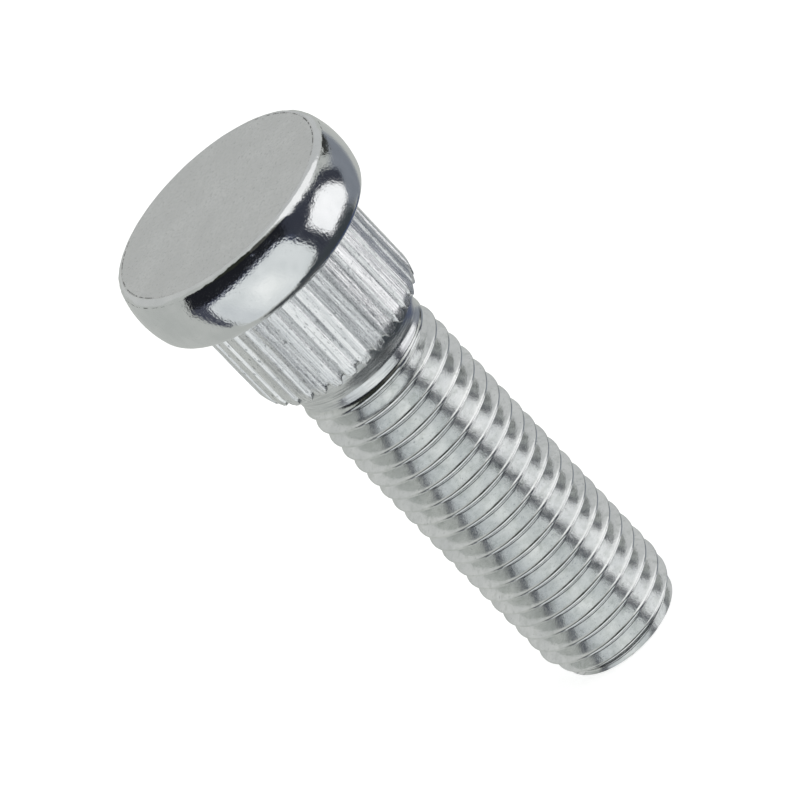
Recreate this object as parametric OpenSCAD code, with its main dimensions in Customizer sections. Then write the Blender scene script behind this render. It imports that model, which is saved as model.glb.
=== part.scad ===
// Wheel stud: one cold forged steel pin that is pressed into a wheel hub from behind.
// It stands on its threaded end with the head up: +Z runs from the thread end to the head.
// Origin: centre of the flat end of the thread. All sizes are in millimetres.

/* [Head] */
// largest diameter of the barrel shaped head
head_diameter = 19.7; // [18.6:0.1:22]
// height of the head from its seating face to its flat top
head_height = 5.5; // [4.5:0.1:7]
// radius of the long arc that bulges the side of the head
head_side_radius = 6.9; // [5.5:0.1:9]
// height of the widest place above the seating face
head_widest_height = 2.8; // [2.2:0.1:3.2]
// radius of the edge around the flat top
head_top_edge = 0.6; // [0.3:0.05:0.8]
// radius of the edge around the seating face
head_seat_edge = 1.35; // [0.8:0.05:1.5]

/* [Knurl] */
// diameter over the crests of the knurl
knurl_diameter = 14.7; // [14:0.1:15.2]
// length of the knurl from the seating face to the end of its lead
knurl_length = 8.9; // [7:0.1:11]
// number of straight teeth
knurl_teeth = 32; // [24:1:36]
// depth of the grooves between the teeth
knurl_depth = 0.36; // [0.3:0.02:0.44]
// share of the tooth spacing that is left as a crest
knurl_crest_share = 0.6; // [0.5:0.02:0.7]
// length of the tapered lead at the lower ends of the teeth
knurl_lead = 1.1; // [0.7:0.1:1.6]
// diameter at the small end of the lead
knurl_lead_diameter = 13.1; // [12.6:0.1:13.6]
// turn of the first groove about the axis (degrees)
knurl_start = 6; // [0:0.5:11]

/* [Neck] */
// diameter of the plain neck above the thread
neck_diameter = 11.4; // [11.2:0.05:11.6]
// length of the cone between the knurl and the plain neck
neck_cone = 1.1; // [0.6:0.1:1.6]
// length of the plain neck
neck_length = 0.7; // [0.4:0.1:2]

/* [Thread] */
// outside diameter over the thread crests
thread_diameter = 11.86; // [11.75:0.01:12]
// distance between neighbouring turns
thread_pitch = 1.5; // [1.25:0.25:1.75]
// length from the free end to the top of the run-out
thread_length = 31.8; // [24:0.5:40]
// length over which the thread fades out below the neck
thread_run_out = 1.4; // [1:0.1:2.5]
// length of the lead cone at the free end
end_lead = 2.0; // [1.4:0.1:2.4]
// diameter of the flat at the free end
end_diameter = 10.3; // [9.6:0.1:10.6]
// turn of the thread's start about the axis (degrees)
thread_start = 125; // [0:5:355]

/* [Hidden] */
$fn = 96;

zinc = [0.74, 0.75, 0.76];

// heights of the stations, from the free end upwards
z_neck = thread_length;
z_cone = z_neck + neck_length;
z_lead = z_cone + neck_cone;
z_seat = z_lead + knurl_length;
z_top = z_seat + head_height;

// the side arc of the head and the two edge radii that run into it without a kink
head_radius = head_diameter / 2;
side_centre = [head_radius - head_side_radius, z_seat + head_widest_height];

function edge_centre(edge, z) =
    let (reach = head_side_radius - edge, rise = z - side_centre.y)
    [side_centre.x + sqrt(reach * reach - rise * rise), z];

top_edge_centre = edge_centre(head_top_edge, z_top - head_top_edge);
seat_edge_centre = edge_centre(head_seat_edge, z_seat + head_seat_edge);

// what lies outside an edge radius: from straight up or down round to the side arc
corner_reach = 4;
module outside_corner(centre, side) {
    outward = (centre - side_centre) / norm(centre - side_centre);
    polygon([
        centre,
        centre + corner_reach * outward,
        centre + corner_reach * (outward + [0, side]),
        centre + corner_reach * [0, side]
    ]);
}

module head() {
    rotate_extrude() {
        difference() {
            intersection() {
                translate([0, z_seat]) square([head_radius, head_height]);
                translate(side_centre) circle(head_side_radius);
            }
            outside_corner(top_edge_centre, 1);
            outside_corner(seat_edge_centre, -1);
        }
        translate(top_edge_centre) circle(head_top_edge);
        translate(seat_edge_centre) circle(head_seat_edge);
    }
}

knurl_radius = knurl_diameter / 2;
tooth_angle = 360 / knurl_teeth;
groove_half_angle = tooth_angle * (1 - knurl_crest_share) / 2;

// a groove is a V from its lowest line out past the crests
module knurl_groove() {
    mouth = knurl_radius * sin(groove_half_angle);
    slope = mouth / (knurl_depth - knurl_radius * (1 - cos(groove_half_angle)));
    past = 1;
    bottom = knurl_radius - knurl_depth;
    polygon([
        [bottom, 0],
        [bottom + past, -slope * past],
        [bottom + past, slope * past]
    ]);
}

module knurl() {
    root_overlap = 1;
    intersection() {
        translate([0, 0, z_lead])
            linear_extrude(z_seat - z_lead + root_overlap)
                difference() {
                    circle(knurl_radius);
                    for (tooth = [0 : knurl_teeth - 1])
                        rotate(knurl_start + tooth * tooth_angle) knurl_groove();
                }
        rotate_extrude()
            polygon([
                [0, z_lead],
                [knurl_lead_diameter / 2, z_lead],
                [knurl_radius, z_lead + knurl_lead],
                [knurl_diameter, z_lead + knurl_lead],
                [knurl_diameter, z_seat + root_overlap],
                [0, z_seat + root_overlap]
            ]);
    }
}

module neck() {
    inner_overlap = 1;
    rotate_extrude()
        polygon([
            [0, z_neck],
            [neck_diameter / 2, z_neck],
            [neck_diameter / 2, z_cone],
            [knurl_lead_diameter / 2, z_lead],
            [knurl_lead_diameter / 2 - inner_overlap, z_lead + inner_overlap],
            [0, z_lead + inner_overlap]
        ]);
}

// The thread is a right hand helix. Its outline repeats every pitch: root, flank up,
// crest, flank down. Every column of points around the stud holds the same outline,
// raised by its share of one pitch, so the crests and roots are true helical lines.
steps = 36;
thread_depth = 0.6 * thread_pitch;
flank_rise = thread_depth * tan(30);
crest_width = thread_pitch / 8;
crest_radius = thread_diameter / 2;
root_radius = crest_radius - thread_depth;
// the faded-out thread ends just inside the neck
inner_gap = 0.05;
faded_radius = neck_diameter / 2 - inner_gap;

outline = [
    [0, root_radius],
    [flank_rise, crest_radius],
    [flank_rise + crest_width, crest_radius],
    [2 * flank_rise + crest_width, root_radius]
];
marks = len(outline);
turns = ceil(thread_length / thread_pitch) + 2;
rows = marks * turns;

function fade(z) = max(0, min(1, (z - z_neck + thread_run_out) / thread_run_out));

function thread_point(step, row) =
    let (mark = outline[row % marks],
         z = (floor(row / marks) - 1 + step / steps) * thread_pitch + mark.x,
         r = mark.y + (faded_radius - mark.y) * fade(z),
         a = thread_start + 360 * step / steps)
    [r * cos(a), r * sin(a), z];

// column 0 is one pitch longer, because the last column joins it one turn higher
first_rows = rows + marks;
thread_points = concat(
    [for (row = [0 : first_rows - 1]) thread_point(0, row)],
    [for (step = [1 : steps - 1]) for (row = [0 : rows - 1]) thread_point(step, row)],
    [[0, 0, thread_point(0, 0).z], [0, 0, thread_point(0, first_rows - 1).z]]
);
low_centre = len(thread_points) - 2;
high_centre = len(thread_points) - 1;

function at(step, row) =
    step == 0 ? row
    : step == steps ? row + marks
    : first_rows + (step - 1) * rows + row;

thread_faces = concat(
    [for (step = [0 : steps - 1]) for (row = [0 : rows - 2]) each [
        [at(step, row), at(step, row + 1), at(step + 1, row + 1)],
        [at(step, row), at(step + 1, row + 1), at(step + 1, row)]
    ]],
    [for (step = [0 : steps - 1]) [low_centre, at(step, 0), at(step + 1, 0)]],
    [for (row = [0 : marks - 1]) [low_centre, row + 1, row]],
    [for (step = [0 : steps - 1]) [high_centre, at(step + 1, rows - 1), at(step, rows - 1)]],
    [for (row = [0 : marks - 1]) [high_centre, rows - 1 + row, rows + row]]
);

module thread() {
    end_radius = end_diameter / 2;
    // the lead cone runs on past the crests, so that no edge of it touches them
    run_on = 2;
    clear_radius = end_radius + run_on * (crest_radius - end_radius);
    z_above = z_neck + thread_pitch / 2;
    intersection() {
        polyhedron(thread_points, thread_faces);
        rotate_extrude()
            polygon([
                [0, 0],
                [end_radius, 0],
                [clear_radius, run_on * end_lead],
                [clear_radius, z_above],
                [0, z_above]
            ]);
    }
}

module wheel_stud() {
    color(zinc) union() {
        head();
        knurl();
        neck();
        thread();
    }
}

wheel_stud();
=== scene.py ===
import math

import bpy
import numpy as np
from mathutils import Matrix, Vector

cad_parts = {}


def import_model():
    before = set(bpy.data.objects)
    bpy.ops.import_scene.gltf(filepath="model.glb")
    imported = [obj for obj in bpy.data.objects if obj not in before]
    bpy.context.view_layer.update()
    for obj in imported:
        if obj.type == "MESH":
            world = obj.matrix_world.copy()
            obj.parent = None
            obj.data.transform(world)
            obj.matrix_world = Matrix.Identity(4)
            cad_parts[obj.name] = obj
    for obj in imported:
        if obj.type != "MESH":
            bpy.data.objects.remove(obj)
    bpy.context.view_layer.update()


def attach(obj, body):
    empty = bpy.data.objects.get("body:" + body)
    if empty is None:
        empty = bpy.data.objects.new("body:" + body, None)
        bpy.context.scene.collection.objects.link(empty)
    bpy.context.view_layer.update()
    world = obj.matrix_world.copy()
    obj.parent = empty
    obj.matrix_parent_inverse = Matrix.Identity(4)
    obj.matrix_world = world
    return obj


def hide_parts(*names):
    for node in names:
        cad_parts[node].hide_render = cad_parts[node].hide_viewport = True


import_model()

# A wheel stud that stands on the flat end of its thread, head up. The axis is Z and the
# origin is the centre of that end. Sizes are in millimetres up to the finished mesh, and the
# noise scales and bump heights of the materials are in metres.
MM = 0.001
SHARP_FROM = math.radians(38)

# heights along the axis
Z_TOP = 48.0
Z_SEAT = 42.5
Z_WIDEST = Z_SEAT + 2.8
Z_LEAD = 33.6
Z_NECK = 31.8

# the head: a barrel shaped side between two rounded edges
HEAD_RADIUS = 9.845
SIDE_RADIUS = 6.9
TOP_EDGE = 0.6
SEAT_EDGE = 1.35
FACE_RADIUS = 8.6
SEAT_RADIUS = 8.0
SEAT_INNER_RADIUS = 6.6

# the knurl: straight teeth whose lower ends run out over a cone
KNURL_RADIUS = 7.35
KNURL_DEPTH = 0.36
TEETH = 32
KNURL_START = 6.0
LEAD_RADIUS = 6.55
LEAD_SLOPE = 0.36
Z_LEAD_TOP = 34.95
Z_TOOTH_TIP = 33.87
Z_GROOVE_END = 34.4

# the thread, which runs out into the neck and gets lower towards the free end
THREAD_RADIUS = 5.93
PITCH = 1.5
THREAD_START = 125.0
RUN_OUT = 1.4
END_LEAD = 2.0
END_RADIUS = 5.15
FLANK = math.radians(60)

# the neck, which rises to the knurl by a rounded foot and a cone, and which the thread fades into
NECK_RADIUS = 5.7
FADED_RADIUS = NECK_RADIUS - 0.01
CONE_SLOPE = 0.633
Z_FOOT_TOP = 32.45
Z_FOOT = 32.1

# The main view looks at the stud from this many degrees round its axis, five teeth of the
# knurl, so that the turns of the thread lie as in the photograph.
VIEW_AZ = 56.25

# numbers of the materials, in the order of the list further down
FACE, RIM, KNURL, NECK, THREAD, END = range(6)

# stretches of a noise: the same all ways, along the teeth, and round the neck
EVEN = (1, 1, 1)
ALONG = (1, 1, 0.02)
ROUND = (0.06, 0.06, 1)
LIGHT_ZINC = ((0.75, 0.765, 0.77), (0.84, 0.85, 0.855))


def arc(centre, radius, start, end, count):
    """Points (r, z) on an arc between two angles in degrees, both ends included."""
    angles = np.radians(np.linspace(start, end, count))
    return [(centre[0] + radius * math.cos(a), centre[1] + radius * math.sin(a)) for a in angles]


def smooth_step(low, high, value):
    t = np.clip((value - low) / (high - low), 0, 1)
    return t * t * (3 - 2 * t)


def wave_noise(angle, height, waves, longest, shortest, seed):
    """Smooth noise of about -1 to 1 on a cylinder, made of sine waves that close round it."""
    typical_radius = 6
    local = np.random.default_rng(seed)
    total = np.zeros(np.broadcast(angle, height).shape)
    for _ in range(waves):
        size = longest * (shortest / longest) ** local.random()
        turn = local.random() * 2 * math.pi
        around = round(2 * math.pi * typical_radius / size * math.cos(turn))
        along = 2 * math.pi / size * math.sin(turn)
        total += np.sin(around * angle + along * height + local.random() * 2 * math.pi)
    return total / math.sqrt(waves / 2)


def grid_faces(rows, columns):
    """Quads of a grid that closes round the axis, facing outwards for rows that go down."""
    row, column = np.meshgrid(np.arange(rows - 1), np.arange(columns), indexing="ij")
    after = (column + 1) % columns
    here, below = row * columns, (row + 1) * columns
    quads = np.stack([here + column, below + column, below + after, here + after], -1)
    return quads.reshape(-1, 4)


def points_of(r, z, angle):
    return np.stack([r * np.cos(angle), r * np.sin(angle), z], -1).reshape(-1, 3)


def head_profile():
    """Head from the middle of its flat top, over the side, to inside the knurl."""
    side = (HEAD_RADIUS - SIDE_RADIUS, Z_WIDEST)

    def edge(radius, z):
        """Centre of a rounded edge that meets the side, and the angle at which it does."""
        reach, rise = SIDE_RADIUS - radius, z - side[1]
        return (side[0] + math.sqrt(reach ** 2 - rise ** 2), z), math.degrees(math.asin(rise / reach))

    top, top_angle = edge(TOP_EDGE, Z_TOP - TOP_EDGE)
    seat, seat_angle = edge(SEAT_EDGE, Z_SEAT + SEAT_EDGE)
    points = [(0, Z_TOP), (FACE_RADIUS, Z_TOP)]
    points += arc(top, TOP_EDGE, 90, top_angle, 10)
    points += arc(side, SIDE_RADIUS, top_angle - 1.5, seat_angle + 1.0, 22)
    points += arc(seat, SEAT_EDGE, seat_angle, -90, 12)
    points += [(SEAT_RADIUS, Z_SEAT), (SEAT_INNER_RADIUS, Z_SEAT)]
    return np.array(points)


def head_mesh():
    """Head turned from its profile, with small nicks where its top edge is worn."""
    nick_depth, nick_drop, nick_width, nicks_from = 0.022, 0.25, 0.2, 8.7
    columns = 256
    profile = head_profile()
    angle = (np.arange(columns) * 2 * math.pi / columns)[None, :]
    r, z = (np.repeat(profile[:, i:i + 1], columns, axis=1) for i in (0, 1))
    on_edge = np.exp(-((z - (Z_TOP - nick_drop)) / nick_width) ** 2) * (r > nicks_from)
    r = r + nick_depth * on_edge * wave_noise(angle, 0.0, waves=18, longest=3.0, shortest=0.45, seed=3)
    r = np.minimum(r, HEAD_RADIUS)
    on_face = profile[1:, 1] > Z_TOP - 0.01
    kind = np.where(on_face, FACE, RIM)
    points = points_of(r, z, angle)
    return points, grid_faces(*r.shape), np.repeat(kind, columns), np.zeros_like(points)


def neck_profile():
    """Cone under the teeth, its rounded foot and the neck down into the thread, as (z, radius)."""
    cone = [(z, LEAD_RADIUS - CONE_SLOPE * (Z_LEAD - z)) for z in np.linspace(Z_LEAD, Z_FOOT_TOP, 5)]
    foot_height, foot_rise = Z_FOOT_TOP - Z_FOOT, cone[-1][1] - NECK_RADIUS
    foot = [(Z_FOOT + foot_height * t, NECK_RADIUS + foot_rise * t * t) for t in (0.5, 0.25, 0)]
    neck = [(31.9, FADED_RADIUS), (31.7, FADED_RADIUS), (31.5, FADED_RADIUS - 0.01), (31.42, 5.4)]
    return cone + foot + neck


def knurl_mesh():
    """Knurl with tongue shaped, slightly ragged tooth ends, and the cone and neck below them."""
    rng = np.random.default_rng(7)
    narrow_groove, groove_spread, groove_floor = 0.17, 0.05, 0.6
    clearance, streak_depth, tooth_wear, drift_depth = 0.004, 0.010, 0.02, 0.006
    tongue_power, ragged_end, uneven_end = 2.4, 0.025, 0.05
    lead_drop, lead_bend, lip_drop, lip_height, under_lip = 0.36, 1.3, 0.06, 0.05, 0.07
    # columns across a tooth, as shares of the spacing from one groove's middle to the next
    across = (0, 0.045, 0.09, 0.135, 0.18, 0.23, 0.31, 0.40, 0.5)
    across = np.array(across + tuple(1 - u for u in across[-2:0:-1]))
    per_tooth = len(across)
    columns = TEETH * per_tooth
    number = np.arange(columns) // per_tooth
    u = across[np.arange(columns) % per_tooth]
    angle = (number + u) * 2 * math.pi / TEETH + math.radians(KNURL_START)

    # u is now the distance from the middle of the nearest groove, as a share of the spacing
    u = np.minimum(u, 1 - u)
    groove_number = ((np.arange(columns) + per_tooth // 2) // per_tooth) % TEETH
    half_groove = narrow_groove + groove_spread * rng.random(TEETH)[groove_number]
    groove = np.clip(1 - u / half_groove, 0, 1)
    streak = rng.normal(0, 1, columns)
    worn = tooth_wear * rng.random(TEETH)[number] * (u > half_groove)
    body = KNURL_RADIUS - clearance - streak_depth * np.abs(streak) - worn - KNURL_DEPTH * groove

    # share is 0 in the middle of a tooth, whose end hangs lowest there, and 1 in a groove
    share = np.clip((0.5 - u) / (0.5 - groove_floor * half_groove), 0, 1)
    ragged = rng.normal(0, ragged_end, columns)
    uneven = uneven_end * rng.normal(0, 1, TEETH)[number] * (1 - share)
    end_z = Z_TOOTH_TIP + (Z_GROOVE_END - Z_TOOTH_TIP) * share ** tongue_power + ragged + uneven

    def under(z):
        """Radius of the cone that the teeth stand on."""
        return LEAD_RADIUS + LEAD_SLOPE * (z - Z_LEAD)

    rows = []
    for z in (Z_SEAT + 0.3, Z_SEAT, 42.0, 41.0, 40.0, 39.0, 38.0, 37.0, 36.2, 35.6, 35.2, Z_LEAD_TOP):
        drift = drift_depth * wave_noise(angle, z, waves=10, longest=4.0, shortest=1.0, seed=5)
        rows.append((body + np.minimum(drift, clearance), np.full(columns, z)))
    lead_steps, under_steps = 6, 5
    for step in range(1, lead_steps + 1):
        z = Z_LEAD_TOP + (end_z - Z_LEAD_TOP) * step / lead_steps
        fall = (Z_LEAD_TOP - z) / (Z_LEAD_TOP - Z_LEAD)
        rows.append((np.maximum(body - lead_drop * fall ** lead_bend, under(z)), z))
    lip, lip_z = rows[-1]
    rows.append((np.maximum(lip - lip_drop, under(lip_z)), lip_z - lip_height))
    tooth_rows = len(rows)
    for step in range(under_steps):
        z = (lip_z - under_lip) * (1 - step / under_steps) + Z_LEAD * step / under_steps
        rows.append((under(z), z))
    rows += [(np.full(columns, radius), np.full(columns, z)) for z, radius in neck_profile()]
    r = np.array([row[0] for row in rows])
    z = np.array([row[1] for row in rows])
    kind = np.full(len(rows) - 1, KNURL)
    kind[tooth_rows:] = NECK
    points = points_of(r, z, angle[None, :])
    return points, grid_faces(*r.shape), np.repeat(kind, columns), np.zeros_like(points)


def thread_outline():
    """One pitch of the thread from root to root as (z, r, slope of the normal above the
    horizon): straight flanks between rounded roots and a narrow flat crest. The upper side
    of the crest turns into its flank by a small arc and then a wide one."""
    half_crest, root = 0.03, 0.11
    lower_arc, upper_arc, wide_arc, upper_bend = 0.06, 0.115, 0.6, math.radians(48)
    middle = PITCH / 2

    def bend(start, radius, angles, side):
        """Points along an arc that begins at start (z, r) and turns through the angles."""
        points, (z, r), before = [], start, angles[0]
        for a in angles:
            z += side * radius * abs(math.sin(a) - math.sin(before))
            r -= radius * abs(math.cos(a) - math.cos(before))
            points.append((z, r, a))
            before = a
        return points

    lower = bend((middle - half_crest, THREAD_RADIUS), lower_arc, np.linspace(0, -FLANK, 4), -1)
    upper = bend((middle + half_crest, THREAD_RADIUS), upper_arc, np.linspace(0, upper_bend, 4), 1)
    upper += bend(upper[-1][:2], wide_arc, np.linspace(upper_bend, FLANK, 4), 1)[1:]
    low_r = lower[-1][1] - (lower[-1][0] - root * math.sin(FLANK)) * math.tan(FLANK)
    centre = low_r + root * math.cos(FLANK)

    def root_point(z, a):
        return (z + root * math.sin(a), centre - root * math.cos(a), -a)

    def middle_of(before, after):
        return tuple((b + c) / 2 for b, c in zip(before, after))

    first_root = [root_point(0, a) for a in np.linspace(0, FLANK, 3)]
    last_root = [root_point(PITCH, a) for a in np.linspace(-FLANK, 0, 3)[:2]]
    points = [*first_root, middle_of(first_root[-1], lower[-1]), *lower[::-1],
              *upper, middle_of(upper[-1], last_root[0]), *last_root]
    return np.array(points)


def thread_mesh():
    """A right hand helical grid: each column holds the same outline, raised by its share of a
    pitch, and the last column joins the first one turn higher. Its normals are those of full
    turns, also where the turns get lower."""
    crest_foot, crest_wear = 5.6, 0.004
    ripples = ((23.3, 0.4), (37.9, 2.1), (61.7, 4.0), (9.4, 1.0))
    fill_share, fill_reach = 0.97, 1.2
    rim_drop, rim_height, rim_tilt = 0.02, 0.3, math.radians(57)
    outline = thread_outline()
    marks = len(outline)
    columns = 144
    rows = marks * (math.ceil(Z_NECK / PITCH) + 3)
    column = np.arange(columns)[:, None]
    row = np.arange(rows)[None, :]
    angle = math.radians(THREAD_START) + 2 * math.pi * column / columns
    z = (row // marks - 2 + column / columns) * PITCH + outline[row % marks, 0]
    r = outline[row % marks, 1]
    slope = outline[row % marks, 2]
    along = angle + (row // marks) * 2 * math.pi
    rough = sum(np.sin(along * waves + phase) for waves, phase in ripples)
    r = r - smooth_step(crest_foot, THREAD_RADIUS, r) * crest_wear * (1 + 0.5 * rough)

    # the run-out: the outline sinks into the neck
    fade = np.clip((z - Z_NECK + RUN_OUT) / RUN_OUT, 0, 1)
    fading = np.where((fade > 0) & (fade < 1), 1 / RUN_OUT, 0)
    rise_r = -np.sin(slope) * (1 - fade) + (FADED_RADIUS - r) * fading * np.cos(slope)
    rise_z = np.cos(slope)
    r = r + (FADED_RADIUS - r) * fade

    # the lead cone: the turns get lower towards the end
    floor_r = outline[:, 1].min()
    crest_r = END_RADIUS + (THREAD_RADIUS - END_RADIUS) * np.clip(z / END_LEAD, 0, 1)
    r = floor_r + (r - floor_r) * (crest_r - floor_r) / (THREAD_RADIUS - floor_r)

    ones, up = np.ones_like(z), np.array([0, 0, 1])
    radial = np.stack([np.cos(angle) * ones, np.sin(angle) * ones, 0 * ones], -1)
    tangent = np.stack([-np.sin(angle) * r, np.cos(angle) * r, PITCH / (2 * math.pi) * ones], -1)
    normal = np.cross(tangent, radial * rise_r[..., None] + up * rise_z[..., None])
    normal /= np.linalg.norm(normal, axis=-1, keepdims=True)

    # The turns below the end lie flat in the end face, and the last one before it is its rim.
    # Close to the rim the surface is shaded like a flank.
    below = z < 0
    rim = below & ~np.roll(below, -1, axis=1)
    r = np.where(below, END_RADIUS * fill_share * np.clip(fill_reach + z / PITCH, 0, 1), r)
    r = np.where(rim, END_RADIUS - rim_drop, r)
    z = np.where(below, 0, z)
    at_rim = 1 - smooth_step(0, rim_height, z)[..., None]
    normal = normal * (1 - at_rim) + (math.cos(rim_tilt) * radial + math.sin(rim_tilt) * up) * at_rim
    normal[below & ~rim] = 0

    def at(c, k):
        return np.where(c == columns, k + marks, c * rows + k)

    c, k = np.meshgrid(np.arange(columns), np.arange(rows - 1), indexing="ij")
    kept = ~((c == columns - 1) & (k + 1 + marks >= rows))
    quads = np.stack([at(c, k), at(c + 1, k), at(c + 1, k + 1), at(c, k + 1)], -1)[kept]
    flat = z[c, k + 1][kept] <= 0
    return points_of(r, z, angle), quads, np.where(flat, END, THREAD), normal.reshape(-1, 3)


def build(name, parts, materials):
    """One object of the parts, each given as (points, quads, material number of each quad,
    normals). A normal of zero length leaves that corner to Blender."""
    faces, first = [], 0
    for points, quads, _, _ in parts:
        faces.append(quads + first)
        first += len(points)
    faces = np.concatenate(faces)
    points, _, kinds, normals = (np.concatenate(values) for values in zip(*parts))
    mesh = bpy.data.meshes.new(name)
    mesh.from_pydata((points * MM).tolist(), [], faces.tolist())
    for material in materials:
        mesh.materials.append(material)
    mesh.polygons.foreach_set("material_index", kinds.astype(np.int32))
    mesh.polygons.foreach_set("use_smooth", np.ones(len(faces), bool))
    mesh.update()
    mesh.set_sharp_from_angle(angle=SHARP_FROM)
    corner_normals = normals[faces]
    corner_normals[kinds == END] = 0
    mesh.normals_split_custom_set(corner_normals.reshape(-1, 3).tolist())
    piece = bpy.data.objects.new(name, mesh)
    bpy.context.scene.collection.objects.link(piece)
    return piece


def link_or_set(tree, socket, value):
    if isinstance(value, bpy.types.NodeSocket):
        tree.links.new(value, socket)
    else:
        socket.default_value = value


def math_node(tree, operation, *values):
    node = tree.nodes.new("ShaderNodeMath")
    node.operation = operation
    for socket, value in zip(node.inputs, values):
        link_or_set(tree, socket, value)
    return node.outputs[0]


def map_range(tree, value, low, high, to_low=0.0, to_high=1.0, kind="LINEAR"):
    node = tree.nodes.new("ShaderNodeMapRange")
    node.interpolation_type = kind
    for socket, given in zip(node.inputs, (value, low, high, to_low, to_high)):
        link_or_set(tree, socket, given)
    return node.outputs[0]


def mix_colour(tree, factor, colour, tint):
    """The colour, painted over with a plain tint where the factor is 1."""
    mix = tree.nodes.new("ShaderNodeMix")
    mix.data_type = "RGBA"
    tree.links.new(factor, mix.inputs["Factor"])
    tree.links.new(colour, mix.inputs["A"])
    mix.inputs["B"].default_value = (*tint, 1)
    return mix.outputs["Result"]


def plain_colour(tree, tint):
    node = tree.nodes.new("ShaderNodeRGB")
    node.outputs[0].default_value = (*tint, 1)
    return node.outputs[0]


def noise(tree, vector, scale, detail=3.0, roughness=0.5):
    node = tree.nodes.new("ShaderNodeTexNoise")
    tree.links.new(vector, node.inputs["Vector"])
    node.inputs["Scale"].default_value = scale
    node.inputs["Detail"].default_value = detail
    node.inputs["Roughness"].default_value = roughness
    return node.outputs["Fac"]


def stretched(tree, scale):
    """Object coordinates with each axis scaled, so that a noise runs long along one of them."""
    coordinates = tree.nodes.new("ShaderNodeTexCoord")
    mapping = tree.nodes.new("ShaderNodeMapping")
    mapping.inputs["Scale"].default_value = scale
    tree.links.new(coordinates.outputs["Object"], mapping.inputs["Vector"])
    return mapping.outputs["Vector"]


def edge_shade_dots(tree, colour, coordinate, middle, half, share):
    """Painted shade: a dark broken line round the stud where the coordinate is near the middle value."""
    dark, dot_scale = (0.15, 0.15, 0.15), 2300
    dots = map_range(tree, noise(tree, stretched(tree, EVEN), dot_scale, 3, 0.7), 0.46, 0.54)
    dots = math_node(tree, "MULTIPLY", dots, share)
    away = math_node(tree, "ABSOLUTE", math_node(tree, "SUBTRACT", coordinate, middle))
    near = map_range(tree, away, half * 0.4, half, 1.0, 0.0)
    return mix_colour(tree, math_node(tree, "MULTIPLY", dots, near), colour, dark)


def edge_shade_lines(tree, colour, lines):
    """Painted shade along the edges, given as (radius or height, value, half width). In the main
    view it is strong at the left and right of the stud and faint in front and behind."""
    strong_within, faint_beyond, faintest, shift = 4.5, 7.0, 0.12, 0.8
    split = tree.nodes.new("ShaderNodeSeparateXYZ")
    tree.links.new(stretched(tree, EVEN), split.inputs[0])
    x, y, z = split.outputs
    squares = math_node(tree, "ADD", math_node(tree, "MULTIPLY", x, x), math_node(tree, "MULTIPLY", y, y))
    measures = {"radius": math_node(tree, "SQRT", squares), "height": z}
    view = math.radians(VIEW_AZ)
    towards = math_node(tree, "ADD", math_node(tree, "MULTIPLY", x, -math.sin(view)),
                        math_node(tree, "MULTIPLY", y, -math.cos(view)))
    away = math_node(tree, "ABSOLUTE", math_node(tree, "ADD", towards, shift * MM))
    share = map_range(tree, away, strong_within * MM, faint_beyond * MM, 1.0, faintest)
    for measure, value, half in lines:
        colour = edge_shade_dots(tree, colour, measures[measure], value * MM, half * MM, share)
    return colour


def zinc(name, low, high, rough_low, rough_high, bumps, marks=(), clouds=420, lines=()):
    """Bright zinc plating. low and high are the colours that a soft noise mixes, bumps are
    (stretch, scale, detail, height in metres), marks are darker (stretch, scale, from, to,
    colour) and lines give dark painted shade along an edge."""
    grain_scale = 1900
    material = bpy.data.materials.new(name)
    material.use_nodes = True
    tree = material.node_tree
    shader = tree.nodes["Principled BSDF"]
    shader.inputs["Metallic"].default_value = 1.0
    colour = plain_colour(tree, low)
    for stretch, scale, start, end, tint in [(EVEN, clouds, 0.35, 0.65, high), *marks]:
        share = map_range(tree, noise(tree, stretched(tree, stretch), scale, 2.5, 0.6), start, end)
        colour = mix_colour(tree, share, colour, tint)
    # painted shade along the edges, strongest where the main view sees them side-on
    if lines:
        colour = edge_shade_lines(tree, colour, lines)
    tree.links.new(colour, shader.inputs["Base Color"])
    grain = noise(tree, stretched(tree, EVEN), grain_scale, 3, 0.6)
    tree.links.new(map_range(tree, grain, 0.3, 0.7, rough_low, rough_high), shader.inputs["Roughness"])
    normal = None
    for stretch, scale, detail, height in bumps:
        bump = tree.nodes.new("ShaderNodeBump")
        bump.inputs["Strength"].default_value = 1.0
        bump.inputs["Distance"].default_value = height
        tree.links.new(noise(tree, stretched(tree, stretch), scale, detail), bump.inputs["Height"])
        if normal:
            tree.links.new(normal, bump.inputs["Normal"])
        normal = bump.outputs["Normal"]
    tree.links.new(normal, shader.inputs["Normal"])
    return material


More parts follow.
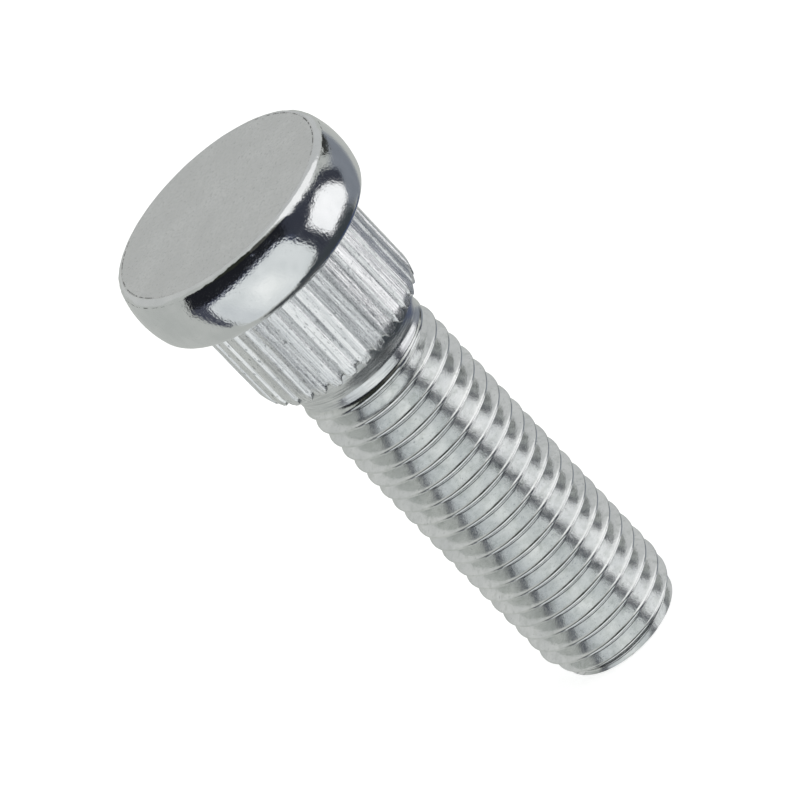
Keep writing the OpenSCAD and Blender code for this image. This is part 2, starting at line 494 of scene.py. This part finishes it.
materials = [
    # The face and the rim carry dark painted shade along the top edge of the head.
    zinc("zinc_face", (0.735, 0.74, 0.735), (0.79, 0.795, 0.79), 0.34, 0.42,
         [(EVEN, 2600, 2, 7e-6), (EVEN, 7000, 1, 5e-6)],
         marks=[(EVEN, 300, 0.46, 0.72, (0.71, 0.715, 0.71)), (EVEN, 3600, 0.40, 0.70, (0.69, 0.70, 0.69)),
                (EVEN, 5200, 0.60, 0.70, (0.58, 0.59, 0.58))],
         lines=[("radius", 8.86, 0.06)]),
    zinc("zinc_rim", (0.75, 0.765, 0.77), (0.83, 0.84, 0.845), 0.08, 0.13,
         [(EVEN, 5600, 1, 7.5e-6), (EVEN, 1300, 2, 8e-6)],
         marks=[(EVEN, 6500, 0.66, 0.76, (0.62, 0.63, 0.64))],
         lines=[("radius", 8.92, 0.06), ("height", 47.58, 0.06)]),
    zinc("zinc_knurl", (0.84, 0.85, 0.855), (0.91, 0.915, 0.92), 0.22, 0.31,
         [((1, 1, 0.03), 5200, 3, 4.0e-5), ((1, 1, 0.3), 8000, 1, 1.4e-5)],
         marks=[(ALONG, 7500, 0.53, 0.65, (0.60, 0.61, 0.62)), (ALONG, 3000, 0.58, 0.72, (0.62, 0.63, 0.64)),
                ((1, 1, 0.4), 5200, 0.60, 0.68, (0.45, 0.46, 0.47))], clouds=900),
    zinc("zinc_neck", *LIGHT_ZINC, 0.18, 0.28,
         [((0.08, 0.08, 1), 4200, 2, 2.6e-5), (EVEN, 6000, 1, 6e-6)],
         marks=[(ROUND, 5200, 0.45, 0.65, (0.60, 0.61, 0.62))], clouds=900),
    zinc("zinc_thread", (0.77, 0.785, 0.785), (0.87, 0.88, 0.875), 0.14, 0.23,
         [((0.35, 0.35, 1), 4200, 2, 6e-6), (EVEN, 6500, 1, 6e-6), (EVEN, 800, 2, 1.5e-5)],
         marks=[(EVEN, 5600, 0.62, 0.71, (0.6, 0.61, 0.62)), (EVEN, 1300, 0.50, 0.78, (0.68, 0.70, 0.685))],
         clouds=450),
    zinc("zinc_end", *LIGHT_ZINC, 0.3, 0.4, [(EVEN, 3000, 3, 8e-6)]),
]

stud = build("stud", [head_mesh(), knurl_mesh(), thread_mesh()], materials)
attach(stud, "root")
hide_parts("wheel_stud")


def world():
    """Soft studio light. The stud shows light panels, dark gaps between them and grey walls.
    A panel is (softness in degrees, colour, corners), and is painted over the earlier ones.
    Corners are (az, el) in degrees and run anticlockwise. az goes round from the main view's
    side, to the left of the stud where it is positive, and el goes up from the horizon."""
    walls = (0.515, 0.53, 0.51)
    panels = [
        # grey walls behind on the left, and on the right
        (6, (0.59, 0.60, 0.59), ((105, 8), (400, 8), (400, 84), (105, 84))),
        (6, (0.57, 0.58, 0.58), ((-400, 8), (-42, 8), (-42, 76), (-400, 76))),
        # ceiling
        (5, (0.64, 0.655, 0.645), ((-400, 78), (400, 78), (400, 200), (-400, 200))),
        # large bright panel, upper right
        (5, (1.02, 1.02, 1.02), ((-113, 10), (-44, 10), (-40, 40), (-44, 80), (-130, 75), (-121, 56))),
        # dark gap high in front, and a darker one to its left
        (8, (0.08, 0.08, 0.072), ((-35, 12), (18, 12), (18, 74), (-20, 74))),
        (4, (0.026, 0.028, 0.022), ((2, 12), (78, 12), (52, 66), (38, 80), (12, 78))),
        # black band along the horizon in front
        (3, (0.013, 0.014, 0.018), ((-34, -14), (84, -14), (76, 25), (-29, 25), (-37, 16))),
        # bluish grey panel low behind on the right, with a dark wedge over it
        (5, (0.23, 0.25, 0.285), ((-144, -42), (-96, -44), (-98, -10), (-138, -6))),
        (1.5, (0.04, 0.042, 0.04), ((-135, -10), (-114, -9), (-104, -1), (-128, 2))),
        # dark floor on the right, bluish floor behind it, and dark floor straight below
        (5, (0.05, 0.058, 0.065), ((-150, -85), (-2, -85), (-4, -58), (-34, -48), (-66, -42), (-98, -38),
                                   (-150, -52))),
        (5, (0.07, 0.09, 0.16), ((-200, -74), (-134, -70), (-142, -38), (-200, -40))),
        (4, (0.075, 0.08, 0.085), ((-400, -200), (400, -200), (400, -72), (-400, -72))),
        # dark gap between the small bright panel and the main one
        (3, (0.04, 0.044, 0.06), ((-108, -19), (-98, -38), (-36, -52), (-18, -20), (-22, 0), (-36, 16),
                                  (-92, -2))),
        # main panel low in front, with a blue fringe along its top
        (2, (0.03, 0.04, 0.11), ((-30, -30), (66, -30), (66, -8), (40, -2.5), (12, 2.5), (-12, 3.5),
                                 (-25, -4))),
        (2, (0.79, 0.82, 0.825), ((-38, -43), (-22, -51), (5, -62), (67, -62), (67, -10.5), (40, -4.5),
                                  (12, 0.5), (-12, 1.5), (-21, -3), (-32, -27))),
        # bright middle and dim left part of the main panel
        (9, (0.98, 1.0, 0.99), ((-2, -44), (30, -44), (28, -20), (6, -20))),
        (8, (0.68, 0.71, 0.73), ((40, -60), (66, -60), (66, -18), (52, -14))),
        # dark strip at the left of the main panel
        (2, (0.06, 0.065, 0.09), ((66, -8), (70, -42), (76, -42), (79, -25), (82, -8))),
        # small bright panel low on the right
        (2.5, (1.12, 1.12, 1.13), ((-101, -34), (-63, -43), (-52, -34), (-42, -14), (-54, -7), (-68, -3),
                                   (-84, -11), (-102, -27))),
    ]
    scene_world = bpy.data.worlds.new("studio")
    bpy.context.scene.world = scene_world
    scene_world.use_nodes = True
    tree = scene_world.node_tree
    tree.nodes.clear()
    direction = tree.nodes.new("ShaderNodeTexCoord").outputs["Generated"]
    split = tree.nodes.new("ShaderNodeSeparateXYZ")
    tree.links.new(direction, split.inputs[0])
    x, y, z = split.outputs
    to_degrees = 180 / math.pi
    round_axis = math_node(tree, "ARCTAN2", math_node(tree, "MULTIPLY", x, -1.0),
                           math_node(tree, "MULTIPLY", y, -1.0))
    az = math_node(tree, "SUBTRACT", math_node(tree, "MULTIPLY", round_axis, to_degrees), VIEW_AZ)
    az = math_node(tree, "WRAP", az, 180.0, -180.0)
    el = math_node(tree, "MULTIPLY", math_node(tree, "ARCSINE", z), to_degrees)
    colour = plain_colour(tree, walls)
    for soft, tint, corners in panels:
        inside = None
        for (az_0, el_0), (az_1, el_1) in zip(corners, corners[1:] + corners[:1]):
            # depth inside this edge of the panel, in degrees
            length = math.hypot(az_1 - az_0, el_1 - el_0)
            by_az, by_el = (el_0 - el_1) / length, (az_1 - az_0) / length
            depth = math_node(tree, "MULTIPLY_ADD", el, by_el, -by_az * az_0 - by_el * el_0)
            depth = math_node(tree, "MULTIPLY_ADD", az, by_az, depth)
            inside = math_node(tree, "MINIMUM", inside, depth) if inside else depth
        share = map_range(tree, inside, -soft, soft, 0.0, 1.0, "SMOOTHSTEP")
        colour = mix_colour(tree, share, colour, tint)
    studio = tree.nodes.new("ShaderNodeBackground")
    tree.links.new(colour, studio.inputs["Color"])
    white = tree.nodes.new("ShaderNodeBackground")
    white.inputs["Color"].default_value = (1, 1, 1, 1)
    seen = tree.nodes.new("ShaderNodeLightPath").outputs["Is Camera Ray"]
    mix = tree.nodes.new("ShaderNodeMixShader")
    tree.links.new(seen, mix.inputs[0])
    tree.links.new(studio.outputs[0], mix.inputs[1])
    tree.links.new(white.outputs[0], mix.inputs[2])
    output = tree.nodes.new("ShaderNodeOutputWorld")
    tree.links.new(mix.outputs[0], output.inputs[0])


def floor():
    """A plain pale floor that keeps the stud's soft shadow. Reflections pass through it to the
    studio's lower panels. The glow lifts it to the white of the background."""
    floor_size, pale, glow_strength = 8, (0.85, 0.85, 0.85, 1), 0.72
    bpy.ops.mesh.primitive_plane_add(size=floor_size, location=(0, 0, 0))
    plane = bpy.context.object
    plane.name = "floor"
    material = bpy.data.materials.new("floor")
    material.use_nodes = True
    tree = material.node_tree
    tree.nodes.clear()
    diffuse = tree.nodes.new("ShaderNodeBsdfDiffuse")
    diffuse.inputs["Color"].default_value = pale
    glow = tree.nodes.new("ShaderNodeEmission")
    glow.inputs["Color"].default_value = (1, 1, 1, 1)
    seen = tree.nodes.new("ShaderNodeLightPath").outputs["Is Camera Ray"]
    tree.links.new(math_node(tree, "MULTIPLY", seen, glow_strength), glow.inputs["Strength"])
    add = tree.nodes.new("ShaderNodeAddShader")
    tree.links.new(diffuse.outputs[0], add.inputs[0])
    tree.links.new(glow.outputs[0], add.inputs[1])
    output = tree.nodes.new("ShaderNodeOutputMaterial")
    tree.links.new(add.outputs[0], output.inputs[0])
    plane.data.materials.append(material)
    plane.visible_glossy = False
    plane.visible_shadow = False


def camera():
    """The photograph's view: the middle of the head's top seen from the camera (x right, y
    down, z forward, in millimetres), the stud's lean away from the picture plane and its turn
    in the picture, in radians."""
    head_middle = np.array((-13.194, -14.047, 400.525))
    lean, turn = 0.46688, 0.80470
    focal_pixels, picture_pixels, sensor_width = 5568.1, 800, 36
    down_stud = np.array((math.cos(lean) * math.cos(turn), math.cos(lean) * math.sin(turn), math.sin(lean)))
    across = np.array((-math.sin(turn), math.cos(turn), 0))
    near = -np.cross(down_stud, across)
    seen = np.array((near, across, down_stud)).T
    s, c = math.sin(math.radians(VIEW_AZ)), math.cos(math.radians(VIEW_AZ))
    real = np.array(((-s, -c, 0), (-c, s, 0), (0, 0, -1))).T
    turned = real @ seen.T
    place = np.array((0, 0, Z_TOP)) - turned @ head_middle
    right, down, ahead = turned.T
    data = bpy.data.cameras.new("camera")
    data.sensor_width = sensor_width
    data.lens = focal_pixels / picture_pixels * sensor_width
    data.clip_start, data.clip_end = 0.01, 20
    eye = bpy.data.objects.new("camera", data)
    bpy.context.scene.collection.objects.link(eye)
    matrix = Matrix.Identity(4)
    for column, axis in enumerate((right, -down, -ahead)):
        for row in range(3):
            matrix[row][column] = axis[row]
    matrix.translation = Vector(place * MM)
    eye.matrix_world = matrix
    bpy.context.scene.camera = eye


world()
floor()
camera()
bpy.context.scene.view_settings.view_transform = "Standard"
